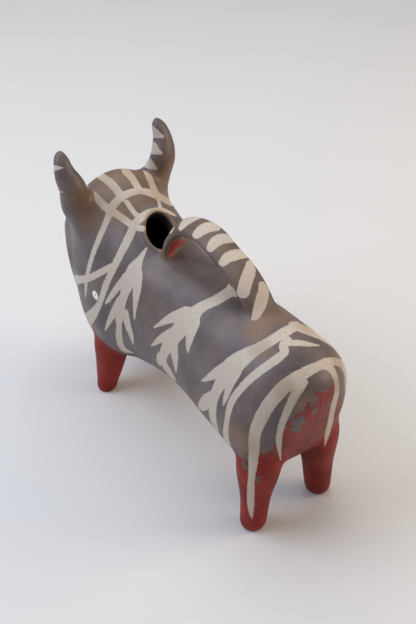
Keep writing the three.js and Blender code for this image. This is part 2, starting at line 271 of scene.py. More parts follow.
# Geometry Nodes tree for everything that is rolled from a coil of clay: it wraps a flattened
# round section round a middle line whose points carry their own girth and spread
def makeCoilTree():
    tree = bpy.data.node_groups.new("clayCoil", "GeometryNodeTree")
    face = tree.interface
    face.new_socket("Middle line", in_out="INPUT", socket_type="NodeSocketGeometry")
    for name, kind, value in (
        ("Side", "NodeSocketVector", (1.0, 0.0, 0.0)),
        ("Squareness", "NodeSocketFloat", 2.0),
        ("Sides", "NodeSocketInt", 48),
        ("Clay", "NodeSocketMaterial", None),
    ):
        socket = face.new_socket(name, in_out="INPUT", socket_type=kind)
        if value is not None:
            socket.default_value = value
    face.new_socket("Coil", in_out="OUTPUT", socket_type="NodeSocketGeometry")
    given = addNode(tree, "NodeGroupInput").outputs
    girth, spread = (
        addNode(tree, "GeometryNodeInputNamedAttribute", {"Name": key}, data_type="FLOAT").outputs[0]
        for key in ("girth", "spread")
    )
    line = addNode(tree, "GeometryNodeMeshToCurve", {"Mesh": given["Middle line"]})
    settings = {"Curve": line.outputs[0], "Normal": given["Side"]}
    turned = addNode(tree, "GeometryNodeSetCurveNormal", settings, mode="FREE")
    place = addNode(tree, "GeometryNodeInputPosition").outputs[0]
    kept = addNode(tree, "GeometryNodeCaptureAttribute", {"Geometry": turned.outputs[0]}, domain="POINT")
    kept.capture_items.new("VECTOR", "Middle")
    tree.links.new(place, kept.inputs["Middle"])
    circle = addNode(tree, "GeometryNodeCurvePrimitiveCircle", {"Resolution": given["Sides"], "Radius": 1.0})
    spot = addNode(tree, "ShaderNodeSeparateXYZ", {0: place})
    bend = addNode(tree, "ShaderNodeMath", {0: 2.0, 1: given["Squareness"]}, operation="DIVIDE")
    flattened = []
    for axis in ("X", "Y"):
        size = addNode(tree, "ShaderNodeMath", {0: spot.outputs[axis]}, operation="ABSOLUTE")
        power = addNode(tree, "ShaderNodeMath", {0: size.outputs[0], 1: bend.outputs[0]}, operation="POWER")
        sign = addNode(tree, "ShaderNodeMath", {0: spot.outputs[axis]}, operation="SIGN")
        settings = {0: power.outputs[0], 1: sign.outputs[0]}
        flattened.append(addNode(tree, "ShaderNodeMath", settings, operation="MULTIPLY").outputs[0])
    rim = addNode(tree, "ShaderNodeCombineXYZ", {"X": flattened[0], "Y": flattened[1]})
    settings = {"Geometry": circle.outputs[0], "Position": rim.outputs[0]}
    section = addNode(tree, "GeometryNodeSetPosition", settings)
    wrap = addNode(tree, "GeometryNodeCurveToMesh", {
        "Curve": kept.outputs["Geometry"],
        "Profile Curve": section.outputs[0],
        "Scale": girth,
        "Fill Caps": True,
    })
    out = addNode(tree, "ShaderNodeVectorMath", {0: place, 1: kept.outputs["Middle"]}, operation="SUBTRACT")
    settings = {0: out.outputs[0], 1: given["Side"]}
    aside = addNode(tree, "ShaderNodeVectorMath", settings, operation="DOT_PRODUCT")
    more = addNode(tree, "ShaderNodeMath", {0: spread, 1: 1.0}, operation="SUBTRACT")
    settings = {0: aside.outputs["Value"], 1: more.outputs[0]}
    push = addNode(tree, "ShaderNodeMath", settings, operation="MULTIPLY")
    settings = {0: given["Side"], "Scale": push.outputs[0]}
    shift = addNode(tree, "ShaderNodeVectorMath", settings, operation="SCALE")
    wide = addNode(tree, "GeometryNodeSetPosition", {"Geometry": wrap.outputs[0], "Offset": shift.outputs[0]})
    real = addNode(tree, "GeometryNodeRealizeInstances", {"Geometry": wide.outputs[0]})
    clad = addNode(tree, "GeometryNodeSetMaterial", {"Geometry": real.outputs[0], "Material": given["Clay"]})
    addNode(tree, "NodeGroupOutput", {"Coil": clad.outputs[0]})
    return tree


coilTree = makeCoilTree()
coilClay = bpy.data.materials.new("wetClay")  # stands in until each piece gets its slip
coilSockets = [item for item in coilTree.interface.items_tree if item.item_type == "SOCKET"]
coilKeys = {socket.name: socket.identifier for socket in coilSockets}


def coilForm(middle, girth, spread=1.0, side=(1.0, 0.0, 0.0), squareness=2.0, sides=48, closed=False):
    count = len(middle)
    edges = [(i, i + 1) for i in range(count - 1)] + ([(count - 1, 0)] if closed else [])
    base = meshFrom("coilLine", middle, [], edges)
    for name, values in (("girth", np.asarray(girth) * 0.001), ("spread", spread)):
        made = base.attributes.new(name, "FLOAT", "POINT")
        made.data.foreach_set("value", np.broadcast_to(values, count).astype(np.float32))
    line = pieceFrom("coilLine", base)
    step = line.modifiers.new("clayCoil", "NODES")
    step.node_group = coilTree
    for name, value in (("Side", side), ("Squareness", squareness), ("Sides", sides), ("Clay", coilClay)):
        step[coilKeys[name]] = value
    mesh = evaluatedMesh(line)
    form = pointsOf(mesh), trianglesOf(mesh)
    bpy.data.objects.remove(line)
    bpy.data.meshes.remove(base)
    bpy.data.meshes.remove(mesh)
    return form


hornClay = {
    "spread": 57.0,  # tip to tip
    "rise": 19.5,  # tip above the poll
    "forward": 12.3,  # tip ahead of the poll
    "rootSpread": 28.0,
    "rootDepth": 21.0,
    "out": (0, 0.65, 0.93, 1.05, 1),
    "ahead": (0.41, 0.65, 0.45, 0.65, 1),
    "up": (0, 0.25, 0.575, 0.765, 1),
    "radii": (10.0, 7.0, 5.5, 2.9),
    "roundsAt": 0.88,  # where along it the tip starts to round off
    "fillet": 8.0,  # clay smoothed over the joint
    "leftStout": 0.07,  # the left horn's extra girth halfway up, as a share
    "leftIn": 0.5,  # and how far it leans in there
}


def hornForm(sign):
    poll = trunk["front"][2]
    x = sign * between(hornClay["rootSpread"] / 2, hornClay["spread"] / 2, hornClay["out"])
    y = frontFeet + poll[0] - np.array(hornClay["ahead"]) * hornClay["forward"]
    z = between(poll[1] - hornClay["rootDepth"], poll[1] + hornClay["rise"], hornClay["up"])
    t = towardsTip(hornClay["roundsAt"], 40, 14)
    middle = pathThrough(np.stack([x, y, z], -1), t)
    girth = tapered(hornClay["radii"], t) * roundedOff(t, hornClay["roundsAt"])
    if sign > 0:
        middle[:, 0] -= hornClay["leftIn"] * np.sin(np.pi * t)
        girth = girth * (1 + hornClay["leftStout"] * np.sin(np.pi * t))
    return coilForm(middle, girth, side=(0.0, 1.0, 0.0))


legClay = {
    "rear": {"x": 20.5, "y": rearFeet, "sole": 3.9, "foot": 6.4, "shank": 7.5, "hip": 10.6, "lean": 0.07},
    "front": {"x": 20.7, "y": frontFeet, "sole": 3.2, "foot": 5.6, "shank": 8.1, "hip": 10.4, "lean": 0.2},
    "footRound": 5.0,
    "belowGround": 1.2,  # cut off flat at the ground
    "shankHeight": 19.0,
    "hipAboveBelly": 8.0,
    "hipDome": 20.0,
    "domeShare": 0.6,  # how much of the dome the coil fills, inside the body
    "topShare": 0.85,  # its girth at that end, of the hip's
    "cutShare": 0.9,  # its girth below the ground, of the sole's
    "fillet": 3.0,
}


def legForm(end, sign):
    leg = legClay[end]
    belly = through(trunkPlaces, trunkValues, leg["y"])[0][1]
    hipZ = belly + legClay["hipAboveBelly"]
    top = hipZ + legClay["domeShare"] * legClay["hipDome"]
    rows = [
        (legClay["footRound"], leg["foot"]),
        (legClay["shankHeight"], leg["shank"]),
        (hipZ, leg["hip"]),
        (top, legClay["topShare"] * leg["hip"]),
    ]
    turn = np.linspace(0, np.pi / 2, 9)
    low = legClay["footRound"] * (1 - np.cos(turn))
    high = np.linspace(legClay["footRound"], top, 40)[1:]
    z = np.concatenate([[-legClay["belowGround"]], low, high])
    girth = np.concatenate([
        [legClay["cutShare"] * leg["sole"]],
        leg["sole"] + (leg["foot"] - leg["sole"]) * np.sin(turn),
        through([r[0] for r in rows], [[r[1]] for r in rows], high)[:, 0],
    ])
    middle = np.stack([np.full(len(z), sign * leg["x"]), np.full(len(z), leg["y"]), z], -1)
    points, faces = coilForm(middle, girth)
    points[:, 0] -= sign * leg["lean"] * points[:, 2]
    return points, faces


handleClay = {
    "width": 15.5,
    "frontAside": 0.3,
    "frontSlant": 0.5,  # how much further back its left side stands there, per width
    "slantReach": 0.4,  # of the way to its rear end, where that has faded out
    "aside": -3.2,
    "thickness": 5.6,
    "fingerGap": 17.7,
    "behindFeet": 36.0,
    "aheadOfFeet": 23.0,
    "squareness": 2.6,
    "along": (0.015, 0, 0.113, 0.317, 0.563, 0.775, 1),
    "up": (-0.45, 0.17, 0.78, 1, 0.78, 0.47, -0.3),
    "fillet": 3.5,
}


def handleForm():
    front, rear = frontFeet + handleClay["behindFeet"], rearFeet - handleClay["aheadOfFeet"]
    low = trunk["front"][4][1]
    crown = trunk["loin"][0] + handleClay["fingerGap"] + handleClay["thickness"] / 2
    y = between(front, rear, handleClay["along"])
    z = between(low, crown, handleClay["up"])
    t = np.linspace(0, 1, 90)
    along = np.array(handleClay["along"])
    x = between(handleClay["frontAside"], handleClay["aside"], np.minimum(1, along * 3))
    middle = pathThrough(np.stack([x, y, z], -1), t)
    thickness = np.full(len(t), handleClay["thickness"])
    spread = handleClay["width"] / handleClay["thickness"]
    points, faces = coilForm(middle, thickness / 2, spread, squareness=handleClay["squareness"], sides=72)
    slant = np.clip(1 - (points[:, 1] - front) / (handleClay["slantReach"] * (rear - front)), 0, 1)
    points[:, 1] += handleClay["frontSlant"] * slant * (points[:, 0] - handleClay["frontAside"])
    return points, faces


muzzleClay = {
    "rootRadius": 15.0,
    "depth": 20.0,
    "halfWidth": 10.5,
    "halfHeight": 9.0,
    "drop": 8.0,
    "squareness": 2.4,
    "roundsAt": 0.7,
    "fillet": 5.0,
}


def muzzleForm():
    pole, tip = trunk["facePole"], trunk["facePole"] - muzzleClay["drop"]
    stops = [
        (0, faceEnd + muzzleClay["depth"], pole),
        (0, faceEnd + muzzleClay["depth"] / 3, pole - 0.6 * muzzleClay["drop"]),
        (0, muzzleTip + bull["muzzleReach"] / 2, tip),
        (0, muzzleTip, tip),
    ]
    t = towardsTip(0.75, 30, 16)
    rounding = roundedOff(t, muzzleClay["roundsAt"])
    tall = tapered((muzzleClay["rootRadius"], muzzleClay["halfHeight"]), t) * rounding
    wide = tapered((muzzleClay["rootRadius"], muzzleClay["halfWidth"]), t) * rounding
    return coilForm(pathThrough(stops, t), tall, spread=wide / tall, squareness=muzzleClay["squareness"])


mouthClay = {
    "behindFeet": 25.4,
    "halfWidth": 7.2,  # of the bore
    "stretch": 1.45,  # length over width
    "turn": math.radians(22),  # its rear end points to the bull's left
    "lipRadius": 0.9,
    "lipStand": 0.35,
    "lipSteps": 96,
    "boreSink": 2.0,  # middle of the bore's cutter below the neck
    "boreWalls": 3.2,  # its reach from there, in wall thicknesses
    "rimRound": 0.9,
    "fillet": 3.2,
}
mouthY = frontFeet + mouthClay["behindFeet"]


def backAt(y):
    return through(trunkPlaces, trunkValues, y)[:, 0]


mouthRise = backAt(mouthY - mouthClay["lipRadius"])[0] - backAt(mouthY + mouthClay["lipRadius"])[0]
mouthTilt = math.atan(mouthRise / (2 * mouthClay["lipRadius"]))


# From the mouth's own frame, +Z out of it, to the bull's
def atMouth(points):
    points = np.asarray(points, float)
    c, s = math.cos(mouthTilt), math.sin(mouthTilt)
    across, along, z = points[..., 0], points[..., 1] * mouthClay["stretch"], points[..., 2]
    x = across * math.cos(mouthClay["turn"]) + along * math.sin(mouthClay["turn"])
    y = along * math.cos(mouthClay["turn"]) - across * math.sin(mouthClay["turn"])
    return np.stack([x, mouthY + y * c + z * s, backAt(mouthY)[0] - y * s + z * c], -1)


# How far places lie outside the bore's edge, and above the neck there
def fromMouth(x, y, z):
    c, s = math.cos(mouthTilt), math.sin(mouthTilt)
    dy, dz = y - mouthY, z - backAt(mouthY)[0]
    flat = dy * c - dz * s
    across = x * math.cos(mouthClay["turn"]) - flat * math.sin(mouthClay["turn"])
    along = (x * math.sin(mouthClay["turn"]) + flat * math.cos(mouthClay["turn"])) / mouthClay["stretch"]
    return np.sqrt(across**2 + along**2) - mouthClay["halfWidth"], dy * s + dz * c


def lipForm():
    count = mouthClay["lipSteps"]
    turn = np.linspace(0, 2 * np.pi, count, endpoint=False)
    radius = mouthClay["halfWidth"] + mouthClay["lipRadius"]
    ring = np.stack([radius * np.sin(turn), radius * np.cos(turn), np.full(count, mouthClay["lipStand"])], -1)
    out = (0.0, math.sin(mouthTilt), math.cos(mouthTilt))
    return coilForm(atMouth(ring), np.full(count, mouthClay["lipRadius"]), side=out, closed=True, sides=24)


eyeClay = {"radius": 3.6, "behindFeet": -30.5, "angle": 56.0, "fillet": 1.6}


def eyePlace(sign):
    return trunkPoint(frontFeet + eyeClay["behindFeet"], math.radians(eyeClay["angle"]) * sign)


# Fields: each form as distances to its surface, so that joints can be smoothed over as wet clay is
coarse, fine = 0.66, 0.4  # millimetres between samples, for the halves and for the small pieces
whole = ((-37.0, -104.0, -3.0), (37.0, 104.0, 147.0))
band = 7.0  # how far from its surface a form's distances are known
farOut = 5.0  # distance that stands for the open air round a block
jointRoom = 10.0  # round a part, where its joint is smoothed over
grids = {}


def gridOf(form, voxel):
    points, faces = form
    if (id(form), voxel) not in grids:
        grids[id(form), voxel] = vdb.FloatGrid.createLevelSetFromPolygons(
            np.ascontiguousarray(points, np.float32),
            triangles=np.ascontiguousarray(faces, np.uint32),
            transform=vdb.createLinearTransform(voxel),
            halfWidth=band / voxel,
        )
    return grids[id(form), voxel]


class Block:
    def __init__(self, low, high, voxel):
        self.voxel = voxel
        self.start = np.floor(np.asarray(low) / voxel).astype(int)
        self.shape = np.ceil(np.asarray(high) / voxel).astype(int) - self.start + 1
        axes = [(self.start[n] + np.arange(self.shape[n])) * voxel for n in range(3)]
        self.x = axes[0][:, None, None].astype(np.float32)
        self.y = axes[1][None, :, None].astype(np.float32)
        self.z = axes[2][None, None, :].astype(np.float32)

    def read(self, grid):
        values = np.empty(tuple(self.shape), np.float32)
        grid.copyToArray(values, ijk=tuple(int(v) for v in self.start))
        return values

    def surface(self, values):
        grid = vdb.FloatGrid(farOut)
        values = values.astype(np.float32)
        for face in (np.s_[0], np.s_[-1]):
            values[face], values[:, face], values[:, :, face] = farOut, farOut, farOut
        grid.copyFromArray(values, ijk=tuple(int(v) for v in self.start))
        grid.transform = vdb.createLinearTransform(self.voxel)
        points, quads = grid.convertToQuads(isovalue=0)
        return outwards(points, quads)


def outwards(points, faces):
    a, b, c = (points[faces[:, n]].astype(float) for n in (0, 1, 2))
    volume = np.einsum("ij,ij->i", a, np.cross(b, c)).sum()
    if faces.shape[1] == 4:
        d = points[faces[:, 3]].astype(float)
        volume += np.einsum("ij,ij->i", a, np.cross(c, d)).sum()
    return points, faces if volume > 0 else faces[:, ::-1]


def blended(a, b, k):
    if k <= 0:
        return np.minimum(a, b)
    h = np.maximum(k - np.abs(a - b), 0) / k
    return np.minimum(a, b) - h * h * k / 4


handTouch = {
    "swell": 0.16,
    "dent": 0.09,
    "seam": 0.2,  # depth of the groove where the two halves meet on the rump
    "seamWidth": 0.9,
    "seamStarts": 60.0,  # it comes in from here backwards
    "seamTop": 88.0,
}


# Slow swells and dents that a form patted out by hand keeps, and the seam
def handmade(block):
    x, y, z = block.x, block.y, block.z
    swell = np.sin(0.105 * x + 0.071 * y + 1.3) * np.sin(0.12 * z + 0.4) * handTouch["swell"]
    dent = np.sin(0.23 * y + 0.19 * z + 0.5) * np.sin(0.21 * x - 0.08 * y + 2.0) * handTouch["dent"]
    seam = handTouch["seam"] * np.exp(-((x / handTouch["seamWidth"]) ** 2))
    seam = seam * np.clip((y - handTouch["seamStarts"]) / 25, 0, 1)
    seam = seam * np.clip((handTouch["seamTop"] - z) / 8, 0, 1)
    return swell + dent - seam


hornForms = {sign: hornForm(sign) for sign in (1, -1)}
legForms = {(end, sign): legForm(end, sign) for end in ("front", "rear") for sign in (1, -1)}
handleShape, muzzleShape, lipShape = handleForm(), muzzleForm(), lipForm()
trunkShape = trunkForm()

parts = [  # name, form, fillet, how far the piece reaches past its coil, over the trunk
    ("mouth_lip", lipShape, mouthClay["fillet"], 1.1),
    ("handle", handleShape, handleClay["fillet"], 1.8),
    ("muzzle", muzzleShape, muzzleClay["fillet"], 2.2),
]
for side, sign in (("left", 1), ("right", -1)):
    parts.append((f"{side}_horn", hornForms[sign], hornClay["fillet"], 2.4))
    parts.append((f"rear_{side}_leg", legForms["rear", sign], legClay["fillet"], 2.0))
    parts.append((f"front_{side}_leg", legForms["front", sign], legClay["fillet"], 2.0))


def fieldAt(block, form):
    return block.read(gridOf(form, block.voxel))


def boreAt(block):
    radial, out = fromMouth(block.x, block.y, block.z)
    return np.maximum(radial, np.abs(out + mouthClay["boreSink"]) - mouthClay["boreWalls"] * bull["wall"])


def eyeAt(block, sign):
    place = eyePlace(sign)
    apart = (block.x - place[0]) ** 2 + (block.y - place[1]) ** 2 + (block.z - place[2]) ** 2
    return np.sqrt(apart) - eyeClay["radius"]


# The whole outside in one block, each part only read where it is
def clayField(block):
    field = fieldAt(block, trunkShape)
    for name, form, fillet, reach in parts:
        low, high = form[0].min(0) - jointRoom, form[0].max(0) + jointRoom
        a = np.maximum(np.floor(low / block.voxel).astype(int) - block.start, 0)
        b = np.minimum(np.ceil(high / block.voxel).astype(int) - block.start, block.shape)
        if np.any(b - a < 2):
            continue
        inner = Block((block.start + a) * block.voxel, (block.start + b - 1) * block.voxel, block.voxel)
        spot = tuple(slice(int(p), int(q)) for p, q in zip(a, a + inner.shape))
        inner.shape = np.array(field[spot].shape)
        field[spot] = blended(field[spot], fieldAt(inner, form), fillet)
    for sign in (1, -1):
        field = blended(field, eyeAt(block, sign), eyeClay["fillet"])
    field = field + handmade(block)
    field = -blended(-field, boreAt(block), mouthClay["rimRound"])
    return np.maximum(field, -block.z)


wholeBlock = Block(*whole, coarse)
clay = clayField(wholeBlock)
outside = wholeBlock.surface(clay)
print("clay joined:", len(outside[0]), "points")


def carved(mesh, operation, knife):
    made, tool = pieceFrom("carving", mesh), pieceFrom("knife", knife)
    step = made.modifiers.new("carve", "BOOLEAN")
    step.operation, step.solver, step.object = operation, "MANIFOLD", tool
    result = evaluatedMesh(made)
    bpy.data.objects.remove(made)
    bpy.data.objects.remove(tool)
    return result


rootDepth = 1.0  # how far a piece sits in the trunk's clay
eyeDepth = 0.8
eyeEdge = 0.7  # clay smoothed round an eye that stays with it


def cutterField(block, form, reach):
    trunkField = fieldAt(block, trunkShape)
    return np.maximum(fieldAt(block, form) - reach, -(trunkField + rootDepth))


def blockRound(form, room, voxel):
    return Block(form[0].min(0) - room, form[0].max(0) + room, voxel)


pieces = {}
knives = {}
for name, form, fillet, reach in parts:
    block = blockRound(form, reach + 2.5, fine)
    fused = meshFrom(name, *block.surface(clayField(block)))
    if name == "handle":
        block = blockRound(form, reach + 1.5, coarse)
    cutter = meshFrom(name + "Knife", *block.surface(cutterField(block, form, reach)))
    if name == "handle":
        cutter = carved(cutter, "DIFFERENCE", knives["mouth_lip"])
    knives[name] = cutter
    pieces[name] = carved(fused, "INTERSECT", cutter)
    print("made", name)
for side, sign in (("left", 1), ("right", -1)):
    place, reach = eyePlace(sign), eyeClay["radius"] + eyeEdge
    block = Block(place - reach - 1.5, place + reach + 1.5, fine)
    fused = meshFrom(side + "_eye", *block.surface(clayField(block)))
    cut = np.maximum(eyeAt(block, sign) - eyeEdge, -(fieldAt(block, trunkShape) + eyeDepth))
    knives[side + "_eye"] = meshFrom(side + "EyeKnife", *block.surface(cut))
    pieces[side + "_eye"] = carved(fused, "INTERSECT", knives[side + "_eye"])

shell = meshFrom("shell", *outside)
hollow = meshFrom("hollow", *outwards(*trunkForm(-bull["wall"], 72, 14, 60)))
shell = carved(shell, "DIFFERENCE", hollow)
for name in knives:
    shell = carved(shell, "DIFFERENCE", knives[name])
print("shell carved:", len(shell.polygons), "faces")


def sideBox(sign):
    x0, x1 = sorted((0.0, sign * 60.0))
    corners = [(x, y, z) for x in (x0, x1) for y in (-120, 120) for z in (-20, 160)]
    faces = [(0, 1, 3, 2), (4, 6, 7, 5), (0, 4, 5, 1), (2, 3, 7, 6), (0, 2, 6, 4), (1, 5, 7, 3)]
    return outwards(np.array(corners, float), np.array(faces))


for side, sign in (("left", 1), ("right", -1)):
    pieces[f"body_{side}_half"] = carved(shell, "INTERSECT", meshFrom("side", *sideBox(sign)))


creaseAngle = 38.0


def smoothShaded(mesh):
    normals = valuesOf(mesh.polygons, "normal", wide=3)
    edges = valuesOf(mesh.loops, "edge_index", np.int32)
    owner = np.repeat(np.arange(len(normals)), valuesOf(mesh.polygons, "loop_total", np.int32))
    order = np.argsort(edges, kind="stable")
    one, other = order[0::2], order[1::2]  # a closed mesh has two faces at every edge
    bend = np.einsum("ij,ij->i", normals[owner[one]], normals[owner[other]])
    sharp = np.zeros(len(mesh.edges), bool)
    sharp[edges[one]] = bend < math.cos(math.radians(creaseAngle))
    mesh.shade_smooth()
    mesh.attributes.new("sharp_edge", "BOOLEAN", "EDGE").data.foreach_set("value", sharp)


# Brushwork. Each stroke is read off the picture: places along its middle with its width, in pixels
strokes = {
    "neckRail": [
        (86.8, 188, 4), (97.5, 198.8, 7), (106.7, 208, 8), (119, 215.7, 7), (129.6, 223.3, 7),
        (138.8, 228, 6.5), (143.5, 228.7, 6),
    ],
    "pollArc": [
        (111.3, 208, 8.5), (119, 198.8, 8), (126.6, 194.2, 7.5), (138.8, 191, 6.5),
        (149.5, 192.7, 7), (160.3, 197.3, 7), (171, 203.4, 5),
    ],
    "cheekTail": [
        (111, 208, 8), (107.7, 218.2, 6.3), (100, 236, 5.4), (92.3, 256, 4.5), (86.6, 278.5, 3.6),
        (85.5, 296.8, 1),
    ],
    "napeArc": [
        (132.7, 224.9, 7), (141.9, 217.2, 8), (149.5, 211.8, 5.5), (157, 209.5, 4),
        (166.4, 211, 3.5), (175.6, 215.7, 2),
    ],
    "shoulderTail": [
        (134.4, 224, 8), (130, 235, 8.4), (116, 263, 7), (106.3, 284, 6.3), (99.3, 303.8, 6),
        (91, 316, 11), (85.5, 322, 14), (87, 335, 7),
    ],
    "cheekBand": [(72, 280, 9.8), (88, 278.5, 7), (102, 271.5, 6.7), (111.9, 266, 6)],
    "pollRungLeft": [(100.5, 175.9, 7), (111.3, 183.5, 8), (122, 197.3, 8)],
    "pollRungMiddle": [(125, 170.5, 7), (132.7, 178.9, 7), (138.8, 189.6, 6.5)],
    "pollRungRight": [(146.5, 169.7, 7), (151, 182, 6), (155.7, 192.7, 6)],
    "napeRungLeft": [(126.6, 201.9, 5), (134.2, 212.6, 5), (140.4, 218.7, 5)],
    "napeRungRight": [(157.2, 195.8, 3), (159, 202, 3), (160.3, 208, 4)],
    "shoulderStem": [
        (147, 247.7, 1.5), (138.5, 261.7, 8), (134, 270, 14), (127.3, 287, 10), (123, 298, 8.4),
        (119.6, 312, 9), (119, 326, 5.6), (119, 337.4, 6.3), (123, 348.7, 5), (133, 353, 1),
    ],
    "shoulderLeaf1": [(130, 273, 9), (119, 285.5, 7), (107.7, 301, 4), (105.6, 303.8, 1.5)],
    "shoulderLeaf2": [(138.5, 273, 8), (136.9, 289.8, 8), (135, 306.6, 4), (134.3, 319, 1.5)],
    "shoulderLeaf3": [(120.3, 301, 9), (113.3, 313.6, 7), (107.7, 324.8, 4), (105.2, 330.4, 1)],
    "shoulderLeaf4": [(125.2, 312.2, 6), (128, 326, 6), (131.5, 336, 4), (133.2, 344, 1)],
    "flankStem": [
        (230, 291.5, 11), (217, 299.6, 10), (200.3, 308, 11), (189, 319.2, 18), (179.2, 330.4, 16),
        (170.8, 341.7, 14), (163.8, 354.3, 9), (163.8, 362.7, 6), (169.4, 372.5, 5),
        (175.7, 381, 1),
    ],
    "flankLeaf1": [(186.2, 312.2, 12), (172.2, 317.8, 10), (161, 323.4, 5), (153.7, 327.6, 1.5)],
    "flankLeaf2": [(193.2, 322, 14), (190.4, 334.6, 9), (188.3, 345.9, 5), (187.9, 352.9, 1)],
    "flankLeaf3": [(172.2, 333.2, 11), (161, 338.9, 8), (151.9, 345.6, 2)],
    "flankLeaf4": [(173.6, 345.9, 8), (175, 358.5, 6), (176.1, 372.5, 1)],
    "flankBud": [(160.5, 352.5, 3), (160, 357.5, 8), (161, 362.5, 6.5)],
    "haunchStem": [
        (296, 326, 9), (284, 332.5, 10), (275, 338.4, 10), (259.4, 347.8, 11), (243.8, 357.2, 16),
        (231.3, 368, 20), (223.4, 379, 14), (215.6, 393, 10), (212.5, 407, 8), (213.3, 419.7, 6),
        (217.2, 430.6, 3), (219.5, 438.4, 1),
    ],
    "haunchLeaf1": [(231.3, 365, 14), (217.2, 372.8, 11), (207.8, 378.3, 6), (201.3, 381, 1)],
    "haunchLeaf2": [(235.9, 371.3, 12), (229.7, 385.3, 8), (225, 399.4, 4), (223, 405.6, 1)],
    "haunchBud": [(210.5, 394.5, 7), (206.5, 400.5, 12.5), (203.6, 405.5, 11)],
    "haunchStripe": [
        (287.5, 340, 8), (282.8, 346.3, 8), (285.2, 351, 8), (275, 360.3, 9), (259.4, 371.3, 8.5),
        (243.8, 385.3, 8), (231.3, 402.5, 6.5), (226.6, 422.8, 5), (225.8, 435.3, 5.5),
        (229.7, 449.4, 4), (233.6, 458, 3),
    ],
    "croupUpper": [(292.2, 325.2, 8), (303, 329, 8), (318.8, 335.3, 7), (329.7, 343, 4), (334.4, 347.8, 2)],
    "croupLower": [(284.4, 343, 6), (300, 343, 6), (309.4, 344.4, 4), (318.8, 345.5, 1.5)],
    "rumpStripe": [
        (340.6, 361.9, 6), (329.7, 361.9, 9), (315.6, 367.3, 10), (300, 376, 13),
        (284.4, 386.9, 14), (270.3, 402.5, 14), (260.2, 419.7, 13.5), (254.7, 435.3, 12),
        (253.9, 451, 10.5), (253, 465, 9), (251.6, 477.5, 7), (250.8, 491.6, 7.5), (250.8, 504, 7),
        (251.3, 513.4, 4), (251.9, 518, 1),
    ],
    "rumpFork": [
        (303, 382, 10), (295.3, 394.7, 9.5), (287.5, 410.3, 8), (281.3, 426, 6.5), (278.9, 440, 6),
        (279.4, 449.4, 4), (280.5, 459.5, 1),
    ],
    "rumpDrip": [
        (318.8, 365, 7), (329.7, 368, 7), (335.9, 379, 5), (336.7, 391.6, 4.5), (332.8, 408.8, 5),
        (329.7, 424.4, 5), (326.6, 436.9, 4), (324.7, 446, 1),
    ],
    "rumpFar": [(325, 361, 6), (337.5, 362, 7), (344.5, 368, 6), (346, 377.5, 3), (345.3, 390, 1)],
    "hornMark1": [(154.6, 128.5, 1), (156, 133, 4.5), (158, 137, 9)],
    "hornMark2": [(153.9, 144, 1), (154.8, 149, 5), (156.8, 153.4, 9)],
    "hornMark3": [(150.9, 160, 1.5), (151, 164, 6), (151.2, 167.5, 11)],
    "hornSpot1": [(56, 165.5, 4), (58.5, 168.5, 5)],
    "hornSpot2": [(58, 191.3, 1.6), (62.5, 191, 1.6)],
}
handleBars = {
    "hookStreak": [(170.5, 233, 1.5), (173.8, 227.5, 1.5)],
    "hookBar": [(180.5, 228.5, 4.5), (185, 223, 7), (192, 219, 6), (201, 216.7, 3)],
    "crownBar1": [(196.3, 235.1, 8), (201.9, 230, 10.5), (209.2, 227, 10.5), (217.8, 227.6, 6)],
    "crownBar2": [
        (210.5, 248, 8), (215.3, 242, 11.5), (223, 238.6, 10.5), (230.8, 239.4, 7),
        (233.8, 241.2, 3),
    ],
    "crownBar3": [
        (222.6, 262.7, 8), (228.2, 257.5, 11), (235.1, 254.9, 11), (242, 254.1, 9),
        (246.3, 255.8, 5),
    ],
    "slantBar1": [(243.2, 292, 13), (246.3, 280.8, 13.5), (249.7, 270.4, 12), (249.7, 263.5, 7)],
    "slantBar2": [
        (252.3, 321.2, 3), (256.6, 314.3, 9), (260.9, 302.3, 12.5), (263.5, 292, 11),
        (261.8, 285, 7),
    ],
}
hornWedges = [  # marks with sharp corners, by their corners in the picture
    [(152, 125), (164.3, 136), (163.6, 138.1), (152, 138.2)],
    [(153.9, 140.8), (162.8, 153.7), (161.5, 154.5), (150, 154.2), (151, 147)],
    [(150.2, 157.8), (157.2, 167.8), (156.8, 170.2), (149.5, 168.6), (142, 166.6)],
    [(53, 164.6), (63.5, 167.8), (53, 172)],
    [(56.5, 190.2), (64.2, 192.1), (57, 193.6)],
]
flankWedges = [[(229, 282), (239, 297.8), (222.5, 294.6)]]

lensPlace = np.array(camera.location) * 1000
lensTurn = np.array(camera.matrix_world.to_3x3())
clayTree = BVHTree.FromPolygons(outside[0].tolist(), outside[1].tolist())


def spotOnClay(u, v):
    wide, tall = view["picture"]
    ray = lensTurn @ np.array([(u - wide / 2) / view["focal"], (tall / 2 - v) / view["focal"], -1.0])
    hit = clayTree.ray_cast(Vector(lensPlace), Vector(ray / np.linalg.norm(ray)))[0]
    return None if hit is None else np.array(hit)


# A stroke's marks drawn out along a smooth line, so many pixels apart
def evenMarks(stroke, spacing):
    marks = np.array(stroke, float)
    length = np.hypot(*np.diff(marks[:, :2], axis=0).T).sum()
    return pathThrough(marks, np.linspace(0, 1, max(4, round(length / spacing))))


widest = 2.6  # half width of a stroke where the clay slants away, against its half width seen


# A stroke laid on the clay: points along its middle with half its width there, all in mm
def laid(stroke):
    marks = evenMarks(stroke, 2.0)
    along = np.gradient(marks[:, :2], axis=0)
    along /= np.linalg.norm(along, axis=1)[:, None]
    made = []
    for (u, v, width), (du, dv) in zip(marks, along):
        middle = spotOnClay(u, v)
        if middle is None:
            continue
        flat = 0.5 * width * np.linalg.norm(middle - lensPlace) / view["focal"]
        reaches = []
        for side in (-0.5, 0.5):
            edge = spotOnClay(u - dv * side * width, v + du * side * width)
            if edge is not None:
                reaches.append(np.linalg.norm(edge - middle))
        reaches = [min(r, widest * flat) for r in reaches] or [flat]
        made.append((*middle, np.mean(reaches)))
    return np.array(made)


